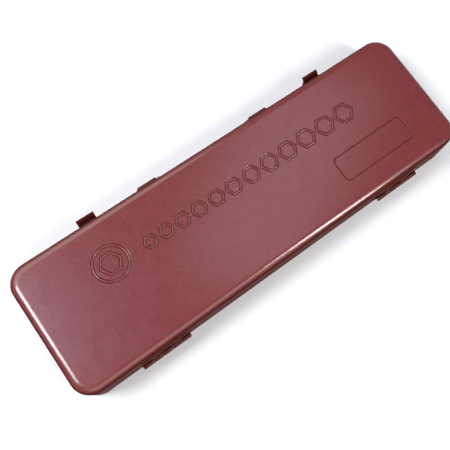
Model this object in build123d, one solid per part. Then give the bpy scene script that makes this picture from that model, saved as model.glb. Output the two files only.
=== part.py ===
from build123d import *
import math
import os

# A pressed-steel socket case: a base pan, a hinged lid with a shallow overlap, two snap hasps
# and a wire carrying handle on the front, and folded-sheet racks inside.
# Millimetres. +X runs along the length, -Y is the front with hasps and handle, +Z is up.
# The origin is the centre of the underside of the base pan.

# ---- case shell ----
case_length = 400.0
case_width = 122.0
case_height = 50.0          # floor to the lid's flat top, without the raised figures
rim_height = 28.0           # lower edge of the lid's skirt
corner_radius = 18.0
shell_sheet = 0.8
lid_edge_radius = 5.0       # rolled edge round the lid's top
base_edge_radius = 4.0      # rolled edge round the base's floor,
base_edge_bands = 3         # drawn with this many flat bands
lip_height = 5.0            # the base's stepped-in lip stands this far up inside the lid
lip_clearance = 0.4         # side gap between the lip and the lid's skirt
rim_gap = 0.3               # gap between the lid's edge and the base's shoulder
shoulder_slope = 0.8        # height of the sloped shoulder under the lid's edge

# ---- pressed figures on the lid ----
label_length = 78.0
label_width = 24.8
label_radius = 5.0
label_depth = 0.5
label_draft = 0.5           # the recess is this much wider at the top than at its floor
label_end = 78.3            # from the -X end of the case to the label's centre
label_rear = 35.3           # from the rear of the case to the label's centre
figure_height = 0.4         # how far the raised figures stand above the lid
figure_stroke = 1.8         # width of their raised lines
figure_row_front = 44.2     # from the front of the case to the middle of the row of hexagons
figure_row_start = 106.2    # from the +X end of the case to the row's start, with the smallest
figure_row_end = 70.5       # from the row's end to the -X end of the case
figure_count = 12
figure_first = 11.5         # across flats of the first hexagon
figure_growth = 0.55        # each next hexagon is this much larger across flats
emblem_end = 76.4           # from the +X end of the case to the emblem's centre
emblem_front = 41.1         # from the front of the case to the emblem's centre
emblem_radius = 16.0
emblem_hexagon = 18.0       # across flats of the hexagon inside the emblem's ring
emblem_sides = 32           # the emblem's ring is drawn with this many flats

# ---- hinges on the rear wall ----
hinge_end = 74.8            # from each end of the case to the centre of the hinge near it
hinge_length = 46.0
hinge_sheet = 1.0
hinge_knuckle_radius = 2.3
hinge_pin_radius = 1.2
hinge_knuckles = 5
hinge_leaf_height = 13.0    # from the hinge axis to a leaf's free edge
hinge_wall_gap = 0.3        # between the knuckles and the walls behind them
hinge_leaf_corner = 2.0     # clipped corners of the leaves
hinge_rivet_pitch = 24.0

# ---- snap hasps on the front wall ----
latch_end = 79.4            # from each end of the case to the centre of the hasp near it
latch_plate_width = 27.0
latch_plate_bottom = 7.5
latch_sheet = 1.0
latch_axis_height = 20.0
latch_knuckle_radius = 2.1
latch_pin_radius = 1.0
hasp_width = 16.6
hasp_nose_height = 34.4     # height of the nose's tip when the hasp is snapped home
hasp_nose_reach = 1.9       # how far the nose stands in from the hasp's inner face
hasp_thumb_rise = 5.2       # from the nose's tip up to the thumb edge
hasp_thumb_reach = 1.6      # how far the thumb edge stands out from the hasp's outer face
hasp_rest_angle = 7.0       # the hasps stand this far out from home, just off their keepers
hasp_side_gap = 0.3
keeper_width = 16.0
keeper_lip_reach = 2.7      # how far the keeper's lip stands out from the lid
keeper_nose_gap = 0.2       # height between the keeper's lip and the nose above it
keeper_height = 9.5
latch_corner = 2.5          # clipped corners of the plates and keepers
latch_rivet_pitch = 15.0
keeper_rivet_pitch = 9.0

# ---- carrying handle ----
bracket_spacing = 121.0
bracket_width = 18.5
bracket_sheet = 1.2
bracket_bottom = 7.0
bracket_corner = 2.5
bracket_rivet_pitch = 11.0
handle_wire = 5.5
handle_axis_height = 23.2
handle_floor_gap = 1.0      # between the hanging bail and the surface the case stands on
handle_ear_bend = 5.0       # bend radius of the wire's centre line at the ears
handle_grip_bend = 9.0      # and at the ends of the grip
bend_steps = 5              # straight steps in each bend of the wire
handle_end_length = 1.5     # how far the wire's ends stand out of the brackets

# ---- fits and rivets ----
pin_clearance = 0.05        # radial, pins in hinge and hasp knuckles
pin_end_length = 0.4        # how far a pin's ends stand out of its knuckles
bail_clearance = 0.1        # radial, handle wire in its brackets
knuckle_gap = 0.2           # end gap between neighbouring knuckles
rivet_radius = 1.1
rivet_head_radius = 1.9
rivet_head_height = 0.7
rivet_head_bevel = 0.45
rivet_hole_clearance = 0.05
rivet_sides = 10            # the small rounds are drawn with this many flats: rivets,
knuckle_sides = 16          # knuckles and their pins,
wire_sides = 12             # the handle's wire
seat_sides = 32             # and the round seats and notches in the racks

# ---- racks inside the base ----
rack_sheet = 1.0
rack_end = 7.0              # from each end of the case to the rack's end
rack_front = 10.0           # inside face of the front wall to the rack's front flange
rack_width = 28.0
rack_height = 18.0
socket_diameters = (22, 22, 22, 24, 25, 26, 28, 30, 32, 36, 40, 44)
seat_clearance = 0.3        # radial, socket in its seat
seat_lift = 2.0             # sockets lie this far above the rack's floor
divider_height = 24.0
divider_foot = 9.0
divider_gap = 13.0          # rack's rear flange to the divider
tool_rest_end = 105.0       # from each end of the case to the tool rest near it
tool_rest_height = 24.0
tool_rest_foot = 10.0
tool_rest_wall_gap = 0.6    # from the tool rests to the divider and to the floor's rolled edge
tool_diameters = (17, 20, 14)
tool_notch_floor = 8.0      # height of the bottom of the notches above the pan's floor

# ---- places that follow from the sizes ----
front_wall = -case_width / 2
rear_wall = case_width / 2
pan_floor = shell_sheet
lip_inset = shell_sheet + lip_clearance
hinge_spacing = case_length - 2 * hinge_end
latch_spacing = case_length - 2 * latch_end
rack_length = case_length - 2 * rack_end
tool_rest_spacing = case_length - 2 * tool_rest_end
label_x = label_end - case_length / 2
label_y = rear_wall - label_rear
figure_row_y = front_wall + figure_row_front
emblem_x = case_length / 2 - emblem_end
emblem_y = front_wall + emblem_front
hinge_y = rear_wall + hinge_wall_gap + hinge_knuckle_radius
latch_y = front_wall - latch_knuckle_radius
bracket_outer = handle_wire / 2 + bail_clearance + bracket_sheet
handle_y = front_wall - bracket_outer
rack_y = front_wall + shell_sheet + rack_front + rack_width / 2
divider_y = rack_y + rack_width / 2 + divider_gap
SIDES = (("left", 1), ("right", -1))    # left and right as seen by someone facing the front


def rounded_block(length, width, radius, low, high):
    outline = RectangleRounded(length, width, radius)
    return extrude(Pos(0, 0, low) * outline, high - low)


def rounded_taper(size_low, size_high, low, high):
    """A closed step between two rounded outlines, each (length, width, radius)."""
    bottom = Pos(0, 0, low) * RectangleRounded(*size_low)
    top = Pos(0, 0, high) * RectangleRounded(*size_high)
    return loft([bottom, top])


def shell_size(inset):
    """The case's outline, moved in all round."""
    return (case_length - 2 * inset, case_width - 2 * inset, corner_radius - inset)


def edges_at(body, height):
    return body.edges().filter_by_position(Axis.Z, height - 0.001, height + 0.001)


def bevelled(hollow, height, outer_radius):
    """Bevels the hollow's edge so that the sheet is about as thick there as in its flat parts."""
    return chamfer(edges_at(hollow, height), (outer_radius - shell_sheet) * 0.6)


def rolled_foot():
    """The rolled edge under the base's wall, in flat bands from the floor up."""
    levels = []
    for band in range(base_edge_bands + 1):
        angle = math.radians(90 * band / base_edge_bands)
        levels.append((base_edge_radius * (1 - math.sin(angle)), base_edge_radius * (1 - math.cos(angle))))
    bands = [
        rounded_taper(shell_size(low_inset), shell_size(high_inset), low, high)
        for (low_inset, low), (high_inset, high) in zip(levels, levels[1:])
    ]
    return Part() + bands


def pan_form(inset):
    """The base pan's outside (inset 0) or its hollow (inset one sheet), filled."""
    shoulder_top = rim_height - rim_gap
    shoulder_low = shoulder_top - shoulder_slope
    lip_top = rim_height + lip_height + (1.0 if inset else 0.0)
    wall = shell_size(inset)
    lip = shell_size(inset + lip_inset)
    if inset:
        low = bevelled(rounded_block(*wall, inset, shoulder_low), inset, base_edge_radius)
    else:
        low = rolled_foot() + rounded_block(*wall, base_edge_radius, shoulder_low)
    shoulder = rounded_taper(wall, lip, shoulder_low, shoulder_top)
    return low + shoulder + rounded_block(*lip, shoulder_top, lip_top)


def rivet_rows():
    """Each group's rivets: side-to-side spacing of the pieces, pitch, Z, wall side and stack height."""
    plate_z = (latch_plate_bottom + latch_axis_height - latch_knuckle_radius) / 2
    bracket_z = (bracket_bottom + handle_axis_height - bracket_outer) / 2
    keeper_z = keeper_lip_top() + keeper_height * 0.6
    return {
        "hinge_base": (hinge_spacing, hinge_rivet_pitch, hinge_rivet_height(-1), 1, hinge_sheet),
        "hinge_lid": (hinge_spacing, hinge_rivet_pitch, hinge_rivet_height(1), 1, hinge_sheet),
        "latch_plate": (latch_spacing, latch_rivet_pitch, plate_z, -1, latch_sheet),
        "keeper": (latch_spacing, keeper_rivet_pitch, keeper_z, -1, latch_sheet),
        "bracket": (bracket_spacing, bracket_rivet_pitch, bracket_z, -1, 2 * bracket_sheet),
    }


def rivet_centres(spacing, pitch, side):
    return [side * spacing / 2 + end * pitch / 2 for end in (-1, 1)]


def hinge_rivet_height(direction):
    plate_start = hinge_knuckle_radius + hinge_wall_gap
    return rim_height + direction * (plate_start + hinge_leaf_height) / 2


def keeper_lip_top():
    return hasp_nose_height - latch_sheet / 2 - keeper_nose_gap


def wall_prism(x, z, radius, start, end):
    """A many-sided prism along Y from start to end."""
    plane = Plane(origin=(x, start, z), x_dir=(1, 0, 0), z_dir=(0, 1 if end > start else -1, 0))
    return extrude(plane * RegularPolygon(radius, rivet_sides), abs(end - start))


def drill(body, groups):
    """Cuts the rivet holes of the named groups through the wall."""
    for group in groups:
        spacing, pitch, z, wall, _ = rivet_rows()[group]
        inside = wall * (case_width / 2 - shell_sheet - 1)
        outside = wall * (case_width / 2 + 1)
        for _, side in SIDES:
            for x in rivet_centres(spacing, pitch, side):
                body -= wall_prism(x, z, rivet_radius + rivet_hole_clearance, inside, outside)
    return body


def riveted(body, group, side):
    """Adds a piece's rivets: bevelled head outside, shank through the wall, set head inside."""
    spacing, pitch, z, wall, stack = rivet_rows()[group]
    inner = wall * (case_width / 2 - shell_sheet)
    outer = wall * (case_width / 2 + stack)
    head_top = outer + wall * rivet_head_height
    set_head_top = inner - wall * rivet_head_height / 2
    for x in rivet_centres(spacing, pitch, side):
        body += wall_prism(x, z, rivet_radius, inner, outer)
        head = wall_prism(x, z, rivet_head_radius, outer, head_top)
        body += chamfer(head.faces().sort_by(Axis.Y)[-1 if wall > 0 else 0].edges(), rivet_head_bevel)
        body += wall_prism(x, z, rivet_head_radius * 0.85, inner, set_head_top)
    return body


def base_pan():
    pan = pan_form(0.0) - pan_form(shell_sheet)
    return drill(pan, ("hinge_base", "latch_plate", "bracket"))


def lid_figures():
    """Raised outlines on the lid: a ringed hexagon and a row of growing hexagons."""
    plane = Pos(0, 0, case_height)
    ring = RegularPolygon(emblem_radius, emblem_sides)
    ring -= RegularPolygon(emblem_radius - figure_stroke, emblem_sides)
    inner = hexagon_outline(emblem_hexagon)
    figures = [Pos(emblem_x, emblem_y, 0) * ring, Pos(emblem_x, emblem_y, 0) * inner]
    flats = [figure_first + index * figure_growth for index in range(figure_count)]
    widths = [value / math.cos(math.pi / 6) for value in flats]
    row_length = case_length - figure_row_start - figure_row_end
    space = (row_length - sum(widths)) / (figure_count - 1)
    x = case_length / 2 - figure_row_start
    for value, width in zip(flats, widths):
        figures.append(Pos(x - width / 2, figure_row_y, 0) * hexagon_outline(value))
        x -= width + space
    return [extrude(plane * figure, figure_height) for figure in figures]


def hexagon_outline(flats):
    outer = RegularPolygon(flats / 2, 6, major_radius=False)
    return outer - RegularPolygon(flats / 2 - figure_stroke, 6, major_radius=False)


def label_form(top, grow):
    """The label recess as a closed tapered block whose mouth lies at the given height."""
    mouth_size = (label_length + grow, label_width + grow, label_radius + grow / 2)
    narrower = (2 * label_draft, 2 * label_draft, label_draft)
    floor_size = tuple(size - less for size, less in zip(mouth_size, narrower))
    return Pos(label_x, label_y, 0) * rounded_taper(floor_size, mouth_size, top - label_depth, top)


def lid_shell():
    outside = rounded_block(*shell_size(0.0), rim_height, case_height)
    outside = fillet(edges_at(outside, case_height), lid_edge_radius)
    inside = rounded_block(*shell_size(shell_sheet), rim_height - 1, case_height - shell_sheet)
    inside = bevelled(inside, case_height - shell_sheet, lid_edge_radius)
    lid = outside - inside
    lid += label_form(case_height - shell_sheet, shell_sheet)
    lid -= label_form(case_height, 0.0)
    for figure in lid_figures():
        lid += figure
    return drill(lid, ("hinge_lid", "keeper"))


def yz_face(points):
    """A closed face in the YZ plane through (y, z) points."""
    return make_face(Polyline([(0, y, z) for y, z in points], close=True))


def yz_round(y, z, radius, sides, bore=False):
    """A many-sided round in the YZ plane: inside its radius, or around it for a bore."""
    plane = Plane(origin=(0, y, z), x_dir=(0, 1, 0), z_dir=(1, 0, 0))
    return plane * RegularPolygon(radius, sides, major_radius=not bore)


def along_x(face, centre, length):
    """Extrudes a YZ face to a length along X about a centre."""
    return extrude(Pos(centre - length / 2, 0, 0) * face, length, dir=(1, 0, 0))


def rolled_sheet(points, axis_y, axis_z, outer, bore, sides, centre, length):
    """A bent sheet along X: its flat section, the roll at its edge and the bore through the roll."""
    roll = along_x(yz_round(axis_y, axis_z, outer, sides), centre, length)
    sheet = along_x(yz_face(points), centre, length) + roll
    return sheet - along_x(yz_round(axis_y, axis_z, bore, sides, bore=True), centre, length)


def knuckle_spans(length, count):
    """Centre and length of each knuckle of a barrel, with its end gaps taken off."""
    pitch = length / count
    return [((index + 0.5) * pitch - length / 2, pitch - knuckle_gap) for index in range(count)]


def hinge_leaf(side, direction):
    """One hinge leaf: direction -1 is on the base with the odd knuckles, 1 is on the lid."""
    x = side * hinge_spacing / 2
    front = rear_wall + hinge_sheet
    free_edge = rim_height + direction * hinge_leaf_height
    clear_edge = rim_height + direction * (hinge_knuckle_radius + hinge_wall_gap)
    plate = yz_face([(rear_wall, clear_edge), (front, clear_edge), (front, free_edge), (rear_wall, free_edge)])
    neck = [(rear_wall, rim_height), (hinge_y, rim_height), (front, clear_edge), (rear_wall, clear_edge)]
    bore = hinge_pin_radius + pin_clearance
    leaf = along_x(plate, x, hinge_length - knuckle_gap)
    free_corners = leaf.edges().filter_by(Axis.Y).group_by(Axis.Z)[0 if direction < 0 else -1]
    leaf = chamfer(free_corners, hinge_leaf_corner)
    roll = (hinge_y, rim_height, hinge_knuckle_radius, bore, knuckle_sides)
    for index, (centre, length) in enumerate(knuckle_spans(hinge_length, hinge_knuckles)):
        if index % 2 == (0 if direction < 0 else 1):
            leaf += rolled_sheet(neck, *roll, x + centre, length)
    return riveted(leaf, "hinge_base" if direction < 0 else "hinge_lid", side)


def hinge_pin(side):
    section = yz_round(hinge_y, rim_height, hinge_pin_radius, knuckle_sides)
    return along_x(section, side * hinge_spacing / 2, hinge_length + 2 * pin_end_length)


def latch_plate(side):
    """The plate that carries a hasp, with a rolled knuckle at each end of its top edge."""
    x = side * latch_spacing / 2
    front = front_wall - latch_sheet
    clear_edge = latch_axis_height - latch_knuckle_radius - hinge_wall_gap
    plate = yz_face(
        [
            (front_wall, latch_plate_bottom),
            (front, latch_plate_bottom),
            (front, clear_edge),
            (front_wall, clear_edge),
        ]
    )
    neck = [
        (front_wall, clear_edge),
        (front, clear_edge),
        (latch_y, latch_axis_height),
        (front_wall, latch_axis_height),
    ]
    bore = latch_pin_radius + pin_clearance
    body = along_x(plate, x, latch_plate_width)
    body = chamfer(body.edges().filter_by(Axis.Y).group_by(Axis.Z)[0], latch_corner)
    knuckle_length = (latch_plate_width - hasp_width) / 2 - hasp_side_gap
    roll = (latch_y, latch_axis_height, latch_knuckle_radius, bore, knuckle_sides)
    for end in (-1, 1):
        centre = x + end * (latch_plate_width - knuckle_length) / 2
        body += rolled_sheet(neck, *roll, centre, knuckle_length)
    return riveted(body, "latch_plate", side)


def latch_pin(side):
    section = yz_round(latch_y, latch_axis_height, latch_pin_radius, knuckle_sides)
    return along_x(section, side * latch_spacing / 2, latch_plate_width + 2 * pin_end_length)


def hasp(side):
    """A snap hasp: a knuckle, an upright, a V-bent nose and an outward thumb edge."""
    x = side * latch_spacing / 2
    outer = latch_y - latch_knuckle_radius
    inner = outer + latch_sheet
    half = latch_sheet / 2
    nose = inner + hasp_nose_reach
    nose_low = hasp_nose_height - half
    nose_high = hasp_nose_height + half
    thumb = outer - hasp_thumb_reach
    thumb_top = hasp_nose_height + hasp_thumb_rise
    section = [
        (outer, latch_axis_height),
        (outer, nose_low - 0.4),
        (nose - latch_sheet * 1.2, nose_high - 0.2),
        (thumb, thumb_top),
        (thumb + latch_sheet, thumb_top + 0.3),
        (nose, nose_high),
        (nose, nose_low),
        (inner, nose_low),
        (inner, latch_axis_height),
    ]
    bore = latch_pin_radius + pin_clearance
    roll = (latch_y, latch_axis_height, latch_knuckle_radius, bore, knuckle_sides)
    body = rolled_sheet(section, *roll, x, hasp_width)
    turn = Axis((0, latch_y, latch_axis_height), (1, 0, 0))
    return body.rotate(turn, hasp_rest_angle)


def keeper(side):
    """The catch on the lid: a riveted flange whose lower edge is folded out into a lip."""
    x = side * latch_spacing / 2
    top = keeper_lip_top()
    front = front_wall - latch_sheet
    lip = front_wall - keeper_lip_reach
    section = yz_face(
        [
            (front_wall, top - latch_sheet),
            (lip, top - latch_sheet),
            (lip, top),
            (front, top),
            (front, top + keeper_height),
            (front_wall, top + keeper_height),
        ]
    )
    body = along_x(section, x, keeper_width)
    body = chamfer(body.edges().filter_by(Axis.Y).group_by(Axis.Z)[-1], latch_corner)
    return riveted(body, "keeper", side)


def handle_bracket(side):
    """A strap folded round the handle's end, both layers riveted to the wall below it."""
    x = side * bracket_spacing / 2
    two_layers = front_wall - 2 * bracket_sheet
    fold_low = handle_axis_height - bracket_outer - 1.0
    strap = [
        (front_wall, bracket_bottom),
        (two_layers, bracket_bottom),
        (two_layers, fold_low),
        (handle_y - bracket_outer * 0.8, handle_axis_height - bracket_outer * 0.6),
        (handle_y, handle_axis_height),
        (front_wall, handle_axis_height),
    ]
    bore = handle_wire / 2 + bail_clearance
    roll = (handle_y, handle_axis_height, bracket_outer, bore, knuckle_sides)
    body = rolled_sheet(strap, *roll, x, bracket_width)
    body = chamfer(body.edges().filter_by(Axis.Y).group_by(Axis.Z)[0], bracket_corner)
    return riveted(body, "bracket", side)


def bend(corner, before, after, radius):
    """Points of a quarter bend between two straight runs, in even straight steps."""
    centre = (corner[0] + radius * (before[0] + after[0]), corner[1] + radius * (before[1] + after[1]))
    points = []
    for step in range(bend_steps + 1):
        angle = math.pi / 2 * step / bend_steps
        x = centre[0] - radius * (after[0] * math.cos(angle) + before[0] * math.sin(angle))
        z = centre[1] - radius * (after[1] * math.cos(angle) + before[1] * math.sin(angle))
        points.append((x, z))
    return points


def handle_bail():
    """The carrying handle: one wire, hanging at rest, its ends turned out into the brackets."""
    end_x = (bracket_spacing + bracket_width) / 2 + handle_end_length
    arm_x = (bracket_spacing - bracket_width) / 2 - handle_ear_bend - knuckle_gap
    grip_z = handle_floor_gap + handle_wire / 2
    half = [(end_x, handle_axis_height)]
    half += bend((arm_x, handle_axis_height), (1, 0), (0, -1), handle_ear_bend)
    half += bend((arm_x, grip_z), (0, 1), (-1, 0), handle_grip_bend)
    points = half + [(-x, z) for x, z in reversed(half)]
    line = Polyline([(x, handle_y, z) for x, z in points])
    start = Plane(origin=(end_x, handle_y, handle_axis_height), z_dir=(-1, 0, 0))
    return sweep(start * RegularPolygon(handle_wire / 2, wire_sides), path=line, transition=Transition.RIGHT)


def seat_cut(x, diameter):
    """What one socket cuts out of the rack's flanges: its round seat and the way up out of it."""
    radius = diameter / 2 + seat_clearance
    centre_z = pan_floor + rack_sheet + seat_lift + diameter / 2
    plane = Plane(origin=(x, rack_y - rack_width, centre_z), x_dir=(1, 0, 0), z_dir=(0, 1, 0))
    seat = extrude(plane * RegularPolygon(radius, seat_sides, major_radius=False), 2 * rack_width)
    if centre_z < pan_floor + rack_height:
        way = Box(2 * radius, 4 * rack_width, rack_height)
        seat += Pos(x, rack_y, centre_z + rack_height / 2) * way
    return seat


def seat_centres():
    """X of each socket seat, evenly gapped along the rack, largest at the -X end."""
    gap = (rack_length - sum(socket_diameters)) / (len(socket_diameters) + 1)
    centres = []
    x = rack_length / 2
    for diameter in socket_diameters:
        centres.append(x - gap - diameter / 2)
        x -= gap + diameter
    return centres


def socket_rack():
    """A folded channel with a graduated row of socket seats cut into both flanges."""
    outside = Pos(0, rack_y, pan_floor + rack_height / 2) * Box(rack_length, rack_width, rack_height)
    inside = Box(rack_length + 2, rack_width - 2 * rack_sheet, rack_height)
    rack = outside - Pos(0, rack_y, pan_floor + rack_sheet + rack_height / 2) * inside
    for x, diameter in zip(seat_centres(), socket_diameters):
        rack -= seat_cut(x, diameter)
    return rack


def bay_divider():
    """An upright strip with a foot, between the socket row and the tool bay."""
    upright = yz_face(
        [
            (divider_y, pan_floor),
            (divider_y - divider_foot, pan_floor),
            (divider_y - divider_foot, pan_floor + rack_sheet),
            (divider_y - rack_sheet, pan_floor + rack_sheet),
            (divider_y - rack_sheet, pan_floor + divider_height),
            (divider_y, pan_floor + divider_height),
        ]
    )
    strip = along_x(upright, 0, rack_length)
    return fillet(strip.edges().filter_by(Axis.Y).group_by(Axis.Z)[-1], 6.0)


def tool_notches():
    """Y centre and diameter of each notch in a tool rest."""
    low = divider_y + tool_rest_wall_gap
    high = rear_wall - base_edge_radius - tool_rest_wall_gap
    land = (high - low - sum(tool_diameters)) / (len(tool_diameters) + 1)
    notches = []
    y = low
    for diameter in tool_diameters:
        notches.append((y + land + diameter / 2, diameter))
        y += land + diameter
    return low, high, notches


def tool_rest(side):
    """An L-shaped cross rest with round-bottomed notches for a handle and two bars."""
    low, high, notches = tool_notches()
    x = side * tool_rest_spacing / 2
    middle = (low + high) / 2
    foot = Box(tool_rest_foot, high - low, rack_sheet)
    web = Box(rack_sheet, high - low, tool_rest_height)
    rest = Pos(x - side * tool_rest_foot / 2, middle, pan_floor + rack_sheet / 2) * foot
    rest += Pos(x - side * rack_sheet / 2, middle, pan_floor + tool_rest_height / 2) * web
    for y, diameter in notches:
        radius = diameter / 2 + seat_clearance
        centre_z = pan_floor + tool_notch_floor + radius
        way = Pos(x, y, centre_z + tool_rest_height / 2) * Box(2 * tool_rest_foot, 2 * radius, tool_rest_height)
        rest -= along_x(yz_round(y, centre_z, radius, seat_sides, bore=True), x, 2 * tool_rest_foot) + way
    return rest


def build():
    nodes = {
        "base_pan": base_pan(),
        "lid_shell": lid_shell(),
        "socket_rack": socket_rack(),
        "bay_divider": bay_divider(),
        "handle_bail": handle_bail(),
    }
    for name, side in SIDES:
        nodes["tool_rest_" + name] = tool_rest(side)
        nodes["hinge_base_leaf_" + name] = hinge_leaf(side, -1)
        nodes["hinge_lid_leaf_" + name] = hinge_leaf(side, 1)
        nodes["hinge_pin_" + name] = hinge_pin(side)
        nodes["latch_plate_" + name] = latch_plate(side)
        nodes["latch_pin_" + name] = latch_pin(side)
        nodes["latch_hasp_" + name] = hasp(side)
        nodes["latch_keeper_" + name] = keeper(side)
        nodes["handle_bracket_" + name] = handle_bracket(side)
    return nodes


os.makedirs("parts", exist_ok=True)
for name, solid in build().items():
    export_step(solid, "parts/" + name + ".step")
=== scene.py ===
import math

import bpy
from mathutils import Matrix, Vector
from mathutils.geometry import tessellate_polygon

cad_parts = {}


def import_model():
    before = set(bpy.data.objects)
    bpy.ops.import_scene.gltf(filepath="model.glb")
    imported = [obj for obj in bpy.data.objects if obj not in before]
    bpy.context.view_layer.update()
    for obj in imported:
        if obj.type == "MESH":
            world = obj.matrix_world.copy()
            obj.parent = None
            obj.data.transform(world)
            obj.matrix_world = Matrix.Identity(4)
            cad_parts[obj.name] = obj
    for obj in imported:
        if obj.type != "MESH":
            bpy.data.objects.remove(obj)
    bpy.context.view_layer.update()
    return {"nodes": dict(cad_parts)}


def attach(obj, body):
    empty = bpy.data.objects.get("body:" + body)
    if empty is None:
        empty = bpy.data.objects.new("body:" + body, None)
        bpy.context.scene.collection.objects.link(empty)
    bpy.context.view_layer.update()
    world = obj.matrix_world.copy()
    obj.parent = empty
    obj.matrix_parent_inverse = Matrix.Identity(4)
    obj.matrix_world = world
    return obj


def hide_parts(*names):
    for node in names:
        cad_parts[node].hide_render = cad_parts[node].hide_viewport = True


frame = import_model()

# Shapes are in millimetres, which mesh_object and soften turn into the frame's metres. The floor,
# the lamps and the camera are in metres. The axes are the frame's: +X along the length, -Y the
# front, +Z up, the floor at 0.
MM = 0.001
SIDES = (("left", 1), ("right", -1))

# The case. RIM is the height of the split between base and lid.
LENGTH, WIDTH, HEIGHT = 400.0, 122.0, 50.0
FRONT, REAR = -WIDTH / 2, WIDTH / 2
CORNER, CORNER_STEPS, SHEET = 18.0, 20, 0.8
RIM, RIM_GAP = 28.0, 0.3

# The lid's rounded edge is a quarter of an ellipse whose lowest rings, up to LID_ROLL_SHADED, have the
# shade paint, a painted shade. The flat top starts at LID_FLAT_INSET, and LID_HEM is the radius under the
# rim's outer edge.
LID_ROLL, LID_ROLL_WIDTH, LID_ROLL_STEPS, LID_ROLL_SHADED = 5.0, 7.2, 20, 10
LID_FLAT_INSET = LID_ROLL_WIDTH + 1.2
LID_HEM, LID_HEM_INSET = 0.35, 0.45

# The base's rounded foot, and the lip that stands up inside the lid. The wall steps in to the lip
# over the height of SHOULDER.
FOOT_ROLL, SHOULDER = 4.0, 0.8
LIP_HEIGHT, LIP_INSET = 5.0, 1.2

# The label is a shallow recess whose slope starts LABEL_LEAD outside its outline. Between two of the
# slope's stages, counted from the floor in LABEL_SHADED, it has the shade paint, a painted shade.
LABEL_CENTRE, LABEL_LENGTH, LABEL_WIDTH = (-121.7, 25.7), 77.8, 24.8
LABEL_RADIUS, LABEL_DEPTH = 5.0, 0.5
LABEL_SLOPE, LABEL_LEAD, LABEL_STEPS = 1.5, 0.5, 10
LABEL_STAGES = (0.0, 0.12, 0.3, 0.5, 0.7, 0.88, 1.0)
LABEL_SHADED = (1, 4)

# Half the section of a pressed line, from its groove to its crest, as (out from the figure's
# outline, height). Between the two points of LINE_SHADED its groove has the shade paint, a painted shade.
LINE_WIDTH, LINE_HEIGHT = 1.8, 0.4
LINE_SECTION = [
    (0.75, 0.0), (0.6, -0.05), (0.45, -0.13), (0.3, -0.17), (0.15, -0.12), (0.0, 0.0),
    (-0.15, 0.14), (-0.3, 0.27), (-0.45, 0.36), (-0.65, 0.395), (-LINE_WIDTH / 2, LINE_HEIGHT),
]
LINE_SHADED = (1, 5)

# The figures on the lid, sized across their flats: a ring round a nut, and a row of growing hexagons.
EMBLEM_CENTRE, EMBLEM_RING, EMBLEM_NUT = (123.6, -19.9), 32.0, 18.0
ROW_START, ROW_END, ROW_Y = 93.8, -129.5, -16.8
ROW_COUNT, ROW_SMALLEST, ROW_GROWTH = 12, 11.5, 0.55

# Plates and straps are folded from strip and riveted to the wall.
STRIP = 1.0
RIVET_RADIUS, RIVET_HEIGHT, RIVET_EDGE = 1.9, 0.7, 0.12
RIVET_SET_RADIUS, RIVET_SET_HEIGHT = 1.6, 0.35
TUBE_EDGE = 0.15

# The hinges turn about the line y = HINGE_Y, z = RIM.
HINGE_X, HINGE_LENGTH, HINGE_Y = 125.2, 46.0, REAR + 2.6
HINGE_RADIUS, HINGE_BORE, HINGE_KNUCKLES, HINGE_GAP = 2.3, 1.25, 5, 0.1
HINGE_ROD_TIP = ((0.4, 0.0), (0.38, 0.7), (0.2, 1.1), (0.0, 1.2))
LEAF_NEAR, LEAF_REACH, LEAF_CLIP = 2.6, 13.0, 2.0
LEAF_RIVET_X, LEAF_RIVET_Z = 12.0, 7.8

# The catches turn about the line y = LATCH_Y, z = LATCH_Z and go over the keeper at NOSE_Z.
LATCH_RADIUS, LATCH_BORE = 2.1, 1.05
LATCH_X, LATCH_Y, LATCH_Z = 120.6, FRONT - LATCH_RADIUS, 20.0
LATCH_ROD_TIP = ((0.4, 0.0), (0.38, 0.6), (0.25, 0.9), (0.0, 1.0))
PLATE_HALF, PLATE_FOOT, PLATE_NEAR, PLATE_KNUCKLE = 13.5, 7.5, 2.4, 8.6
PLATE_CLIP, PLATE_RIVET_X = 2.5, 7.5
HASP_HALF, HASP_RADIUS, HASP_OPEN, NOSE_Z = 8.3, 2.04, 7.0, 34.4
NOSE_DEPTH, THUMB_REACH, THUMB_RISE = 1.9, 1.6, 5.5
KEEPER_HALF, KEEPER_DROP, KEEPER_LIP, KEEPER_RISE = 8.0, 0.7, 2.7, 9.5
KEEPER_RIVET_X, KEEPER_RIVET_Z = 4.5, 5.7

# The handle's wire turns in two straps about the line y = HANDLE_Y, z = HANDLE_Z.
STRAP_X, STRAP_HALF, STRAP_FOOT, STRAP_STACK = 60.5, 9.25, 7.0, 2.4
STRAP_RADIUS, STRAP_BORE, STRAP_RIVET_X = 4.05, 2.85, 5.5
HANDLE_Y, HANDLE_Z = FRONT - STRAP_RADIUS, 23.2
WIRE, WIRE_STEPS, WIRE_END, WIRE_CLEAR = 2.75, 28, 1.5, 0.2
WIRE_BEND, GRIP_BEND, GRIP_FLOOR = 5.0, 9.0, 1.0


# ---- meshes ----
def mesh_object(name, shape, material, body):
    """A smooth mesh from a shape in millimetres, parented to the empty of the body it belongs to."""
    data = bpy.data.meshes.new(name)
    data.from_pydata([Vector(v) * MM for v in shape.verts], [], shape.faces)
    data.update()
    data.materials.append(material)
    data.shade_smooth()
    piece = bpy.data.objects.new(name, data)
    bpy.context.scene.collection.objects.link(piece)
    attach(piece, body)
    return piece


def soften(piece, width, angle=35, segments=3, harden=True):
    """Rounds a piece's sharp edges with real geometry."""
    bevel = piece.modifiers.new("rounded_edges", "BEVEL")
    bevel.width = width * MM
    bevel.segments = segments
    bevel.limit_method = "ANGLE"
    bevel.angle_limit = math.radians(angle)
    bevel.harden_normals = harden


def weigh(piece):
    """Keeps large flat faces flat where they meet narrow rounded ones."""
    piece.modifiers.new("even_normals", "WEIGHTED_NORMAL").keep_sharp = True
    return piece


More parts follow.
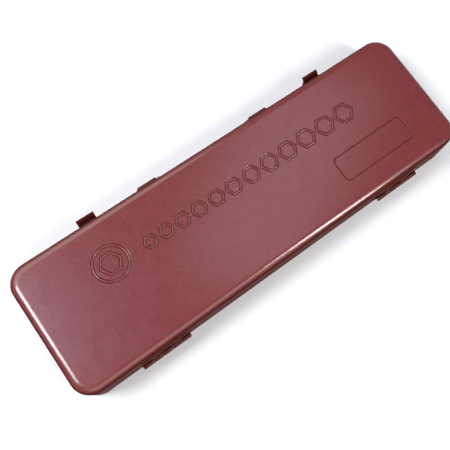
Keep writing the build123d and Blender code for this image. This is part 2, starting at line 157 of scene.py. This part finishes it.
def arc(steps, start=0.0, end=90.0):
    """Angles from start to end, given in degrees."""
    return [math.radians(start + (end - start) * k / steps) for k in range(steps + 1)]


def circle(steps):
    """Angles once round."""
    return [2 * math.pi * k / steps for k in range(steps)]


def winds_left(outline):
    """Whether an outline's points run counter-clockwise."""
    return sum(a[0] * b[1] - b[0] * a[1] for a, b in zip(outline, outline[1:] + outline[:1])) > 0


def lifted(loop, z):
    """A flat loop of points, set at a height."""
    return [(x, y, z) for x, y in loop]


class Shape:
    """Vertices and faces gathered from several simple forms."""

    def __init__(self):
        self.verts, self.faces = [], []

    def add(self, verts, faces):
        start = len(self.verts)
        self.verts += [tuple(v) for v in verts]
        self.faces += [tuple(i + start for i in face) for face in faces]

    def move(self, matrix):
        self.verts = [tuple(matrix @ Vector(v)) for v in self.verts]

    def rings(self, rings, caps=(False, False)):
        """A skin over rings of equal count; caps says whether the first and the last are filled."""
        count = len(rings[0])
        verts = [point for ring in rings for point in ring]
        faces = []
        for r in range(len(rings) - 1):
            for i in range(count):
                j = (i + 1) % count
                a, b = r * count, (r + 1) * count
                faces.append((a + i, a + j, b + j, b + i))
        if caps[0]:
            faces.append(tuple(reversed(range(count))))
        if caps[1]:
            faces.append(tuple(range((len(rings) - 1) * count, len(rings) * count)))
        self.add(verts, faces)

    def flat(self, loops, z, up=True):
        """A flat area at a height between an outer loop and its holes."""
        points = [point for loop in loops for point in lifted(loop, z)]
        faces = []
        for a, b, c in tessellate_polygon([[Vector((x, y, 0)) for x, y in loop] for loop in loops]):
            (ax, ay, _), (bx, by, _), (cx, cy, _) = points[a], points[b], points[c]
            turn = (bx - ax) * (cy - ay) - (by - ay) * (cx - ax)
            faces.append((a, b, c) if (turn > 0) == up else (a, c, b))
        self.add(points, faces)

    def prism_x(self, section, x0, x1):
        """A closed (y, z) section from x0 to x1."""
        ring = section if winds_left(section) else section[::-1]
        self.rings([[(x, y, z) for y, z in ring] for x in (x0, x1)], caps=(True, True))

    def lathe_x(self, y, z, profile, steps):
        """A profile of (x, radius) turned about the line at y, z."""
        rings = [[(x, y + r * math.cos(t), z + r * math.sin(t)) for t in circle(steps)] for x, r in profile]
        self.rings(rings)

    def lathe_y(self, x, z, profile, steps):
        """A profile of (y, radius) turned about the line at x, z, closed where it ends off that line."""
        rings = [[(x + r * math.cos(t), y, z + r * math.sin(t)) for t in circle(steps)] for y, r in profile]
        self.rings(rings, caps=(profile[0][1] > 0, profile[-1][1] > 0))

    def tube_x(self, y, z, outer, bore, x0, x1, steps=40):
        """A tube along X with softly rounded ends."""
        middle = 0.3 * TUBE_EDGE
        profile = [(x0, bore), (x0, outer - TUBE_EDGE), (x0 + middle, outer - middle)]
        profile += [(x0 + TUBE_EDGE, outer), (x1 - TUBE_EDGE, outer)]
        profile += [(x1 - middle, outer - middle), (x1, outer - TUBE_EDGE), (x1, bore), (x0, bore)]
        self.lathe_x(y, z, profile, steps)

    def plate(self, x, half, free, near, wall, outer, clip):
        """A flat plate from y = wall to y = outer, with clipped corners at the height called free."""
        x0, x1 = x - half, x + half
        step = clip if free < near else -clip
        outline = [(x0 + clip, free), (x1 - clip, free), (x1, free + step)]
        outline += [(x1, near), (x0, near), (x0, free + step)]
        if winds_left(outline) != (outer < wall):
            outline = outline[::-1]
        self.rings([[(px, y, pz) for px, pz in outline] for y in (wall, outer)], caps=(True, True))


def rounded_loop(length, width, radius, steps, centre=(0.0, 0.0)):
    """Counter-clockwise points round a rounded rectangle."""
    points = []
    for sx, sy, start in ((1, 1, 0), (-1, 1, 90), (-1, -1, 180), (1, -1, 270)):
        cx = centre[0] + sx * (length / 2 - radius)
        cy = centre[1] + sy * (width / 2 - radius)
        for t in arc(steps, start, start + 90):
            points.append((cx + radius * math.cos(t), cy + radius * math.sin(t)))
    return points


def case_loop(inset):
    """The case's outline, seen from above and drawn in by an inset."""
    return rounded_loop(LENGTH - 2 * inset, WIDTH - 2 * inset, CORNER - inset, CORNER_STEPS)


def case_rings(profile):
    """The case's outline at each (inset, height) of a profile."""
    return [lifted(case_loop(inset), z) for inset, z in profile]


# ---- materials ----
NOISE_LOW, NOISE_HIGH = 0.3, 0.7


class Nodes:
    """A Principled material whose noise patterns are made from object coordinates."""

    def __init__(self, name):
        self.material = bpy.data.materials.new(name)
        self.material.use_nodes = True
        self.tree = self.material.node_tree
        self.shader = self.tree.nodes["Principled BSDF"]
        self.coords = self.tree.nodes.new("ShaderNodeTexCoord").outputs["Object"]

    def link(self, output, socket):
        self.tree.links.new(output, socket)

    def drive(self, name, output):
        self.link(output, self.shader.inputs[name])

    def put(self, name, value):
        self.shader.inputs[name].default_value = value

    def noise(self, scale, detail=2.0, rough=0.5, stretch=None):
        node = self.tree.nodes.new("ShaderNodeTexNoise")
        node.inputs["Scale"].default_value = scale
        node.inputs["Detail"].default_value = detail
        node.inputs["Roughness"].default_value = rough
        source = self.coords
        if stretch:
            mapping = self.tree.nodes.new("ShaderNodeMapping")
            mapping.inputs["Scale"].default_value = stretch
            self.link(source, mapping.inputs["Vector"])
            source = mapping.outputs["Vector"]
        self.link(source, node.inputs["Vector"])
        return node.outputs["Fac"]

    def ramp(self, factor, dark, light, low=NOISE_LOW, high=NOISE_HIGH):
        """A colour between dark, at the factor's low value, and light, at its high one."""
        node = self.tree.nodes.new("ShaderNodeValToRGB")
        for stop, place, colour in zip(node.color_ramp.elements, (low, high), (dark, light)):
            stop.position = place
            stop.color = (*colour, 1.0)
        self.link(factor, node.inputs["Fac"])
        return node.outputs["Color"]

    def spread(self, factor, low, high):
        """Stretches a noise's usual range to the range from low to high."""
        node = self.tree.nodes.new("ShaderNodeMapRange")
        node.inputs["From Min"].default_value = NOISE_LOW
        node.inputs["From Max"].default_value = NOISE_HIGH
        node.inputs["To Min"].default_value = low
        node.inputs["To Max"].default_value = high
        self.link(factor, node.inputs["Value"])
        return node.outputs["Result"]

    def bump(self, height, strength, distance, under=None):
        node = self.tree.nodes.new("ShaderNodeBump")
        node.inputs["Strength"].default_value = strength
        node.inputs["Distance"].default_value = distance
        self.link(height, node.inputs["Height"])
        if under is not None:
            self.link(under, node.inputs["Normal"])
        return node.outputs["Normal"]


def enamel(name, dark, light, roughness, peel, coat=0.0, ior=1.45):
    """Stoved red-brown enamel with a slight orange peel and uneven gloss."""
    m = Nodes(name)
    tone = m.noise(scale=450.0, detail=2.0, rough=0.5)
    m.drive("Base Color", m.ramp(tone, dark, light, low=0.32, high=0.68))
    gloss = m.noise(scale=60.0, detail=4.0, rough=0.6)
    m.drive("Roughness", m.spread(gloss, roughness - 0.03, roughness + 0.04))
    waves = m.bump(m.noise(scale=14.0, detail=1.0, rough=0.4), strength=0.25, distance=0.0006)
    skin = m.bump(m.noise(scale=900.0, detail=2.0, rough=0.5), peel, distance=0.00006, under=waves)
    m.drive("Normal", skin)
    m.put("IOR", ior)
    m.put("Coat Weight", coat)
    m.put("Coat Roughness", 0.15)
    m.put("Coat IOR", 1.5)
    m.drive("Coat Normal", skin)
    return m.material


def steel(name, colour, roughness):
    """Drawn steel wire with its grain along X."""
    m = Nodes(name)
    grain = m.noise(scale=220.0, detail=3.0, rough=0.6, stretch=(1.0, 12.0, 12.0))
    m.drive("Roughness", m.spread(grain, roughness - 0.05, roughness + 0.08))
    m.drive("Base Color", m.ramp(grain, [c * 0.85 for c in colour], colour))
    m.put("Metallic", 1.0)
    m.drive("Normal", m.bump(grain, strength=0.15, distance=0.00004))
    return m.material


def paper(name, colour):
    """The plain pale floor."""
    m = Nodes(name)
    m.drive("Base Color", m.ramp(m.noise(scale=6.0), [c * 0.985 for c in colour], colour))
    m.put("Roughness", 0.9)
    return m.material


case_paint = enamel(
    "case_paint", dark=(0.146, 0.024, 0.024), light=(0.182, 0.032, 0.033),
    roughness=0.27, peel=0.45, coat=0.75,
)
# Painted shade: a darker, duller copy of the case enamel for the walls, edge band, grooves and label band.
shade_paint = enamel(
    "shade_paint", dark=(0.068, 0.0095, 0.008), light=(0.084, 0.0125, 0.010),
    roughness=0.55, peel=0.40, ior=1.1,
)
# Painted shade: the case enamel darkened like the walls, for the hinges, catches and handle.
hardware_paint = enamel(
    "hardware_paint", dark=(0.085, 0.011, 0.009), light=(0.112, 0.016, 0.013),
    roughness=0.36, peel=0.30, ior=1.3,
)
rack_paint = enamel(
    "rack_paint", dark=(0.140, 0.026, 0.024), light=(0.165, 0.032, 0.029),
    roughness=0.45, peel=0.25, coat=0.10,
)
pin_steel = steel("pin_steel", (0.56, 0.55, 0.54), roughness=0.32)
floor_paper = paper("floor_paper", (0.93, 0.93, 0.93))


# ---- lid ----
def soft_polygon(centre, flats, sides, radius, steps=5):
    """A regular polygon with rounded corners; flats is its size across them."""
    reach = (flats / 2 - radius) / math.cos(math.pi / sides)
    points = []
    for middle in circle(sides):
        cx = centre[0] + reach * math.cos(middle)
        cy = centre[1] + reach * math.sin(middle)
        for step in range(steps + 1):
            t = middle - math.pi / sides + 2 * math.pi / sides * step / steps
            points.append((cx + radius * math.cos(t), cy + radius * math.sin(t)))
    return points


def raised_loop(skin, shade_lines, centre, flats, sides, radius):
    """A pressed line round a polygon; gives back its outer and inner border."""
    section = LINE_SECTION + [(-LINE_WIDTH - out, high) for out, high in LINE_SECTION[-2::-1]]
    rings = []
    for out, high in section:
        loop = soft_polygon(centre, flats + 2 * out, sides, max(radius + out, 0.15))
        rings.append(lifted(loop, HEIGHT + high))
    last = len(rings) - 1
    start, end = LINE_SHADED
    stops = (0, start, end, last - end, last - start, last)
    # The groove on each side goes to shade_lines, in painted shade; the rest goes to the skin.
    for index, (first, final) in enumerate(zip(stops, stops[1:])):
        painted = shade_lines if index % 2 else skin
        painted.rings(rings[first:final + 1])
    return [[(x, y) for x, y, _ in ring] for ring in (rings[0], rings[-1])]


def lid_figures(skin, shade_lines):
    """The emblem and the row of hexagons; gives back the outlines that the lid's top leaves open."""
    ring_border, ring_inside = raised_loop(skin, shade_lines, EMBLEM_CENTRE, EMBLEM_RING, sides=24, radius=13.0)
    nut_border, nut_inside = raised_loop(skin, shade_lines, EMBLEM_CENTRE, EMBLEM_NUT, sides=6, radius=1.2)
    borders = [ring_border]
    islands = [[ring_inside, nut_border], [nut_inside]]
    sizes = [ROW_SMALLEST + ROW_GROWTH * k for k in range(ROW_COUNT)]
    widths = [size / math.cos(math.pi / 6) for size in sizes]
    space = (ROW_START - ROW_END - sum(widths)) / (ROW_COUNT - 1)
    x = ROW_START
    for size, width in zip(sizes, widths):
        border, inside = raised_loop(skin, shade_lines, (x - width / 2, ROW_Y), size, sides=6, radius=1.0)
        borders.append(border)
        islands.append([inside])
        x -= width + space
    for loops in islands:
        skin.flat(loops, HEIGHT)
    return borders


def label_loop(inset, steps=LABEL_STEPS):
    """The label's outline, drawn in by an inset."""
    length, width = LABEL_LENGTH - 2 * inset, LABEL_WIDTH - 2 * inset
    return rounded_loop(length, width, LABEL_RADIUS - inset, steps, LABEL_CENTRE)


def label_recess(skin, shade_lines):
    """The label's slope, with a band of painted shade along its middle, and its floor."""
    slope = []
    for stage in reversed(LABEL_STAGES):
        loop = label_loop(LABEL_SLOPE * stage - LABEL_LEAD)
        depth = LABEL_DEPTH * (0.5 - 0.5 * math.cos(math.pi * stage))
        slope.append(lifted(loop, HEIGHT - depth)[::-1])
    start, end = LABEL_SHADED
    skin.rings(slope[:start + 1])
    shade_lines.rings(slope[start:end + 1])
    skin.rings(slope[end:])
    skin.flat([label_loop(LABEL_SLOPE - LABEL_LEAD)], HEIGHT - LABEL_DEPTH)


def lid_inside(skin):
    """The lid's inner face, one sheet inside the outer one, with the label's bulge."""
    ceiling = HEIGHT - SHEET
    bend_z, radius = HEIGHT - LID_ROLL, LID_ROLL - SHEET
    profile = [(SHEET, RIM + 1.0), (SHEET, bend_z)]
    profile += [(SHEET + radius * (1 - math.cos(t)), bend_z + radius * math.sin(t)) for t in arc(8)]
    skin.rings([ring[::-1] for ring in case_rings(profile)])
    border, bulge = label_loop(-0.6, steps=8), label_loop(0.1, steps=8)
    skin.flat([case_loop(LID_ROLL), border], ceiling, up=False)
    skin.rings([lifted(border, ceiling), lifted(bulge, ceiling - LABEL_DEPTH)])
    skin.flat([bulge], ceiling - LABEL_DEPTH, up=False)


def lid():
    """The lid's shell in three meshes: the wall and the groove lines, both in painted shade, and the rest.
    """
    wall = [(SHEET, RIM + 1.0), (SHEET - 0.1, RIM + 0.15), (LID_HEM_INSET, RIM)]
    wall += [(LID_HEM * (1 - math.sin(t)), RIM + LID_HEM * (1 - math.cos(t))) for t in arc(4)]
    wall += [(0.0, RIM + 2.0), (0.0, HEIGHT - LID_ROLL - 3.0)]
    roll = []
    for t in arc(LID_ROLL_STEPS):
        roll.append((LID_ROLL_WIDTH * (1 - math.cos(t)), HEIGHT - LID_ROLL + LID_ROLL * math.sin(t)))
    side, shade_lines, skin = Shape(), Shape(), Shape()
    # The wall and the roll's lowest rings are in painted shade.
    side.rings(case_rings(wall + roll[:LID_ROLL_SHADED]))
    skin.rings(case_rings(roll[LID_ROLL_SHADED - 1:] + [(LID_FLAT_INSET, HEIGHT)]))
    borders = lid_figures(skin, shade_lines)
    skin.flat([case_loop(LID_FLAT_INSET), label_loop(-LABEL_LEAD)] + borders, HEIGHT)
    label_recess(skin, shade_lines)
    lid_inside(skin)
    weigh(mesh_object("lid_side", side, shade_paint, "lid"))
    weigh(mesh_object("lid_shade_lines", shade_lines, shade_paint, "lid"))
    piece = weigh(mesh_object("lid_skin", skin, case_paint, "lid"))
    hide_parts("lid_shell")


# ---- base ----
def base():
    """The base's shell in two meshes: its outer wall in painted shade, and the lip, the inside and the
    floor.
    """
    top, lip_top, lip_inner = RIM - RIM_GAP, RIM + LIP_HEIGHT, LIP_INSET + SHEET
    outside = [(FOOT_ROLL * (1 - math.sin(t)), FOOT_ROLL * (1 - math.cos(t))) for t in arc(10)]
    outside += [(0.0, FOOT_ROLL + 3.0), (0.0, top - SHOULDER - 0.5), (0.12, top - SHOULDER + 0.05)]
    outside += [(LIP_INSET - 0.25, top - 0.12), (LIP_INSET, top + 0.25)]
    inside = [outside[-1], (LIP_INSET, lip_top - 0.3), (LIP_INSET + 0.12, lip_top - 0.06)]
    inside += [(LIP_INSET + 0.35, lip_top), (lip_inner - 0.12, lip_top - 0.06), (lip_inner, lip_top - 0.3)]
    inside += [(lip_inner, top + 0.2), (SHEET + 0.2, top - SHOULDER), (SHEET, top - SHOULDER - 0.6)]
    radius = FOOT_ROLL - SHEET
    inside += [(SHEET + radius * (1 - math.cos(t)), FOOT_ROLL - radius * math.sin(t)) for t in arc(8)]
    side, skin = Shape(), Shape()
    side.rings(case_rings(outside))
    skin.rings(case_rings(inside))
    skin.flat([case_loop(FOOT_ROLL)], 0.0, up=False)
    skin.flat([case_loop(FOOT_ROLL)], SHEET)
    weigh(mesh_object("base_side", side, shade_paint, "base"))
    piece = weigh(mesh_object("base_skin", skin, case_paint, "base"))
    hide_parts("base_pan")


# ---- hardware ----
def part(name, shape, material, body, replaced, bevel=0.15):
    """A piece of hardware that stands for a CAD node, with its edges rounded by a bevel."""
    piece = mesh_object(name, shape, material, body)
    if bevel:
        soften(piece, bevel)
    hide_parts(replaced)


def rivet(shape, x, z, wall, stack=STRIP):
    """A domed head on a stack of strip outside the wall (1 rear, -1 front), and a set head inside."""
    out = wall * (WIDTH / 2 + stack)
    head = [(out, RIVET_RADIUS - 0.05), (out + wall * RIVET_EDGE, RIVET_RADIUS)]
    for t in arc(7, 8, 88):
        height = RIVET_EDGE + (RIVET_HEIGHT - RIVET_EDGE) * math.sin(t)
        head.append((out + wall * height, RIVET_RADIUS * math.cos(t)))
    head.append((out + wall * RIVET_HEIGHT, 0.0))
    shape.lathe_y(x, z, head, 28)
    inside = wall * (WIDTH / 2 - SHEET)
    sections = ((RIVET_SET_HEIGHT, 0.0), (0.34, 1.35), (0.2, RIVET_SET_RADIUS), (0.0, RIVET_SET_RADIUS))
    shape.lathe_y(x, z, [(inside - wall * height, radius) for height, radius in sections], 24)


def rod(name, replaced, x, y, z, half, tip):
    """A rod along X; tip holds (reach past the half length, radius) from the end's middle outwards."""
    start = [(x - half - reach, radius) for reach, radius in tip]
    end = [(2 * x - along, radius) for along, radius in reversed(start)]
    shape = Shape()
    shape.lathe_x(y, z, start + end, steps=32)
    part(name, shape, pin_steel, "base", replaced, bevel=0)


def hinge_leaf(body, name, x, way):
    """The leaf below (way -1) or above (way 1) the hinge's line, with every other knuckle."""
    shape = Shape()
    near, free = RIM + way * LEAF_NEAR, RIM + way * LEAF_REACH
    half, pitch = HINGE_LENGTH / 2, HINGE_LENGTH / HINGE_KNUCKLES
    shape.plate(x, half - HINGE_GAP, free, near, REAR, REAR + STRIP, LEAF_CLIP)
    first = 0 if body == "base" else 1
    for index in range(first, HINGE_KNUCKLES, 2):
        start = x - half + index * pitch
        x0, x1 = start + HINGE_GAP, start + pitch - HINGE_GAP
        shape.tube_x(HINGE_Y, RIM, HINGE_RADIUS, HINGE_BORE, x0, x1)
        neck = [(REAR, near), (REAR + STRIP, near), (HINGE_Y + 0.9, RIM + way * 2.05)]
        neck.append((HINGE_Y - 1.0, RIM + way * 1.5))
        shape.prism_x(neck, x0, x1)
    for end in (-1, 1):
        rivet(shape, x + end * LEAF_RIVET_X, RIM + way * LEAF_RIVET_Z, wall=1)
    replaced = "hinge_" + body + "_leaf_" + name
    part("hinge_" + body + "_" + name, shape, hardware_paint, body, replaced, 0.12)


def hinges():
    for name, side in SIDES:
        x = side * HINGE_X
        hinge_leaf("base", name, x, -1)
        hinge_leaf("lid", name, x, 1)
        rod("hinge_rod_" + name, "hinge_pin_" + name, x, HINGE_Y, RIM, HINGE_LENGTH / 2, HINGE_ROD_TIP)


def catch_plate(name, x):
    """The wide plate on the base, rolled into a knuckle at each end."""
    shape = Shape()
    near = LATCH_Z - PLATE_NEAR
    shape.plate(x, PLATE_HALF, PLATE_FOOT, near, FRONT, FRONT - STRIP, PLATE_CLIP)
    neck = [(FRONT, near), (FRONT - STRIP, near), (LATCH_Y - 0.9, LATCH_Z - 1.9)]
    neck.append((LATCH_Y + 0.9, LATCH_Z - 1.3))
    for end in (-1, 1):
        x0, x1 = sorted((x + end * PLATE_KNUCKLE, x + end * PLATE_HALF))
        shape.tube_x(LATCH_Y, LATCH_Z, LATCH_RADIUS, LATCH_BORE, x0, x1)
        shape.prism_x(neck, x0, x1)
        rivet(shape, x + end * PLATE_RIVET_X, (PLATE_FOOT + LATCH_Z - LATCH_RADIUS) / 2, wall=-1)
    part("catch_plate_" + name, shape, hardware_paint, "base", "latch_plate_" + name, 0.12)


def hasp(name, x):
    """The bent hasp with its nose and thumb tab, turned open about its knuckle."""
    shape = Shape()
    outer = LATCH_Y - LATCH_RADIUS
    inner = outer + STRIP
    nose = inner + NOSE_DEPTH
    thumb = outer - THUMB_REACH
    top = NOSE_Z + THUMB_RISE
    section = [(outer, LATCH_Z), (outer, NOSE_Z - 0.9), (nose - 1.2, NOSE_Z + 0.3), (thumb, top - 0.3)]
    section += [(thumb + STRIP, top), (nose, NOSE_Z + 0.5), (nose, NOSE_Z - 0.5), (inner, NOSE_Z - 0.5)]
    section.append((inner, LATCH_Z))
    shape.prism_x(section, x - HASP_HALF, x + HASP_HALF)
    shape.tube_x(LATCH_Y, LATCH_Z, HASP_RADIUS, LATCH_BORE, x - HASP_HALF, x + HASP_HALF)
    pivot = Vector((0, LATCH_Y, LATCH_Z))
    turn = Matrix.Rotation(math.radians(HASP_OPEN), 4, "X")
    shape.move(Matrix.Translation(pivot) @ turn @ Matrix.Translation(-pivot))
    part("hasp_" + name, shape, hardware_paint, "latch_" + name, "latch_hasp_" + name, 0.3)


def strike(name, x):
    """The keeper on the lid, whose folded lip the hasp's nose snaps over."""
    shape = Shape()
    top = NOSE_Z - KEEPER_DROP
    tip = FRONT - KEEPER_LIP
    lip = [(FRONT, top - STRIP), (tip, top - STRIP), (tip, top), (FRONT - 0.5, top)]
    shape.prism_x(lip, x - KEEPER_HALF, x + KEEPER_HALF)
    shape.plate(x, KEEPER_HALF, top + KEEPER_RISE, top - 0.8, FRONT, FRONT - STRIP, PLATE_CLIP)
    for end in (-1, 1):
        rivet(shape, x + end * KEEPER_RIVET_X, top + KEEPER_RIVET_Z, wall=-1)
    part("strike_" + name, shape, hardware_paint, "lid", "latch_keeper_" + name)


def latches():
    for name, side in SIDES:
        x = side * LATCH_X
        catch_plate(name, x)
        rod("catch_rod_" + name, "latch_pin_" + name, x, LATCH_Y, LATCH_Z, PLATE_HALF, LATCH_ROD_TIP)
        hasp(name, x)
        strike(name, x)


def bail_strap(name, x):
    """A bracket of doubled strip, rolled round the handle's wire."""
    shape = Shape()
    x0, x1 = x - STRAP_HALF, x + STRAP_HALF
    layers = FRONT - STRAP_STACK
    fold = HANDLE_Z - STRAP_RADIUS - 1.0
    tuck = HANDLE_Z - STRAP_BORE - 0.1
    shape.plate(x, STRAP_HALF, STRAP_FOOT, fold + 0.2, FRONT, layers, PLATE_CLIP)
    neck = [(FRONT, fold), (layers, fold), (HANDLE_Y - STRAP_RADIUS * 0.8, HANDLE_Z - STRAP_RADIUS * 0.6)]
    neck += [(HANDLE_Y, tuck), (FRONT, tuck)]
    shape.prism_x(neck, x0, x1)
    end_y, end_z = FRONT - STRIP, HANDLE_Z - 3.0
    shape.prism_x([(FRONT, end_z), (end_y, end_z), (end_y, HANDLE_Z), (FRONT, HANDLE_Z)], x0, x1)
    shape.tube_x(HANDLE_Y, HANDLE_Z, STRAP_RADIUS, STRAP_BORE, x0, x1, steps=48)
    for end in (-1, 1):
        rivet(shape, x + end * STRAP_RIVET_X, (STRAP_FOOT + HANDLE_Z - STRAP_RADIUS) / 2, -1, STRAP_STACK)
    part("bail_strap_" + name, shape, hardware_paint, "base", "handle_bracket_" + name)


def wire_bend(corner, before, after, radius):
    """The (place, direction, wire's radius) of points round a quarter bend in the x, z plane."""
    cx = corner[0] + radius * (before[0] + after[0])
    cz = corner[1] + radius * (before[1] + after[1])
    points = []
    for t in arc(12):
        x = cx - radius * (after[0] * math.cos(t) + before[0] * math.sin(t))
        z = cz - radius * (after[1] * math.cos(t) + before[1] * math.sin(t))
        tangent = [after[i] * math.sin(t) - before[i] * math.cos(t) for i in (0, 1)]
        points.append(((x, z), tangent, WIRE))
    return points


def bail_wire():
    """The wire handle: both halves mirror each other, from an end in a strap down to the grip."""
    end_x = STRAP_X + STRAP_HALF + WIRE_END
    arm_x = STRAP_X - STRAP_HALF - WIRE_BEND - WIRE_CLEAR
    half = []
    for back, thinner in ((0.0, 0.4), (0.15, 0.1), (0.5, 0.0)):
        half.append(((end_x - back, HANDLE_Z), (-1, 0), WIRE - thinner))
    half += wire_bend((arm_x, HANDLE_Z), (1, 0), (0, -1), WIRE_BEND)
    half += wire_bend((arm_x, GRIP_FLOOR + WIRE), (0, 1), (-1, 0), GRIP_BEND)
    path = half + [((-x, z), (tx, -tz), r) for (x, z), (tx, tz), r in half[::-1]]
    rings = []
    for (x, z), (tx, tz), r in path:
        size = math.hypot(tx, tz)
        nx, nz = -tz / size, tx / size
        ring = []
        for t in circle(WIRE_STEPS):
            ring.append((x + r * math.cos(t) * nx, HANDLE_Y + r * math.sin(t), z + r * math.cos(t) * nz))
        rings.append(ring)
    shape = Shape()
    shape.rings(rings, caps=(True, True))
    part("bail_wire", shape, hardware_paint, "handle", "handle_bail", bevel=0)


def handle():
    for name, side in SIDES:
        bail_strap(name, side * STRAP_X)
    bail_wire()


def racks():
    """The racks keep their CAD sheets, with softened edges."""
    for node in ("socket_rack", "bay_divider", "tool_rest_left", "tool_rest_right"):
        piece = frame["nodes"][node]
        piece.data.materials.clear()
        piece.data.materials.append(rack_paint)
        soften(piece, 0.15, angle=40, segments=2, harden=False)


lid()
base()
hinges()
latches()
handle()
racks()


# ---- floor, light and camera ----
FLOOR_REACH, FLOOR_DROP = 4.0, 0.0002
LAMP_TARGET = (0, 0, 0.04)
SKY_LOW, SKY_LOW_COLOUR = 0.70, (0.19, 0.193, 0.20)
SKY_HIGH, SKY_HIGH_COLOUR = 0.88, (0.05, 0.052, 0.06)

# The camera was fitted to the photograph. Its focal length and shift are in pixels of that picture,
# its place is in metres, and it turns about X, Y and Z by degrees.
PHOTO_WIDTH, SENSOR_WIDTH = 450.0, 36.0
FOCAL, SHIFT_X, SHIFT_Y = 722.7, -77.0, -65.6
CAMERA_PLACE = (0.121675, 0.107111, 0.657322)
CAMERA_TURN = (17.8406, -7.5862, 143.2911)


def floor():
    low, high, z = -FLOOR_REACH, FLOOR_REACH, -FLOOR_DROP
    data = bpy.data.meshes.new("floor")
    data.from_pydata([(low, low, z), (high, low, z), (high, high, z), (low, high, z)], [], [(0, 1, 2, 3)])
    data.materials.append(floor_paper)
    piece = bpy.data.objects.new("floor", data)
    bpy.context.scene.collection.objects.link(piece)


def lamp(name, direction, distance, size, power, colour=(1, 1, 1)):
    """A soft rectangular lamp that looks at the case from a direction, in metres and watts."""
    data = bpy.data.lights.new(name, "AREA")
    data.shape = "RECTANGLE"
    data.size, data.size_y = size
    data.energy = power
    data.color = colour
    piece = bpy.data.objects.new(name, data)
    bpy.context.scene.collection.objects.link(piece)
    way = Vector(direction).normalized()
    piece.location = Vector(LAMP_TARGET) + way * distance
    piece.rotation_mode = "QUATERNION"
    piece.rotation_quaternion = way.to_track_quat("Z", "Y")


def lamps():
    """Weak lamps over the top, two whose mirror images lie along the rounded edge, and two wide ones."""
    lamp("lamp_end", (0.20, -0.17, 0.965), 1.5, (0.34, 0.50), power=0.32, colour=(0.30, 0.42, 1.0))
    lamp("lamp_middle", (-0.26, -0.165, 0.95), 1.5, (0.36, 0.70), power=1.25, colour=(0.84, 0.88, 1.0))
    lamp("lamp_left", (0.52, -0.20, 0.83), 1.3, (0.36, 0.50), power=10.5, colour=(0.94, 0.96, 1.0))
    lamp("lamp_rear", (-0.30, 0.555, 0.777), 1.3, (0.14, 0.60), power=8.0)
    lamp("lamp_rear_wide", (0.25, 0.55, 0.80), 1.6, (1.2, 0.8), power=5.0)
    lamp("lamp_front_wide", (0.25, -0.62, 0.74), 1.7, (1.6, 1.2), power=13.0)


def world():
    """A dim sky that is darkest overhead, so that the top mirrors little of it."""
    sky = bpy.data.worlds.new("studio")
    bpy.context.scene.world = sky
    sky.use_nodes = True
    tree = sky.node_tree
    way = tree.nodes.new("ShaderNodeSeparateXYZ")
    tree.links.new(tree.nodes.new("ShaderNodeTexCoord").outputs["Generated"], way.inputs["Vector"])
    ramp = tree.nodes.new("ShaderNodeValToRGB")
    low, high = ramp.color_ramp.elements
    low.position, low.color = SKY_LOW, (*SKY_LOW_COLOUR, 1.0)
    high.position, high.color = SKY_HIGH, (*SKY_HIGH_COLOUR, 1.0)
    tree.links.new(way.outputs["Z"], ramp.inputs["Fac"])
    tree.links.new(ramp.outputs["Color"], tree.nodes["Background"].inputs["Color"])
    tree.nodes["Background"].inputs["Strength"].default_value = 1.0


def camera():
    data = bpy.data.cameras.new("camera")
    data.sensor_width = SENSOR_WIDTH
    data.lens = FOCAL * SENSOR_WIDTH / PHOTO_WIDTH
    data.shift_x = SHIFT_X / PHOTO_WIDTH
    data.shift_y = SHIFT_Y / PHOTO_WIDTH
    data.clip_start, data.clip_end = 0.05, 20.0
    data.dof.use_dof = False
    piece = bpy.data.objects.new("camera", data)
    bpy.context.scene.collection.objects.link(piece)
    piece.location = CAMERA_PLACE
    piece.rotation_euler = [math.radians(angle) for angle in CAMERA_TURN]
    bpy.context.scene.camera = piece


floor()
world()
lamps()
camera()
bpy.context.scene.view_settings.view_transform = "Standard"
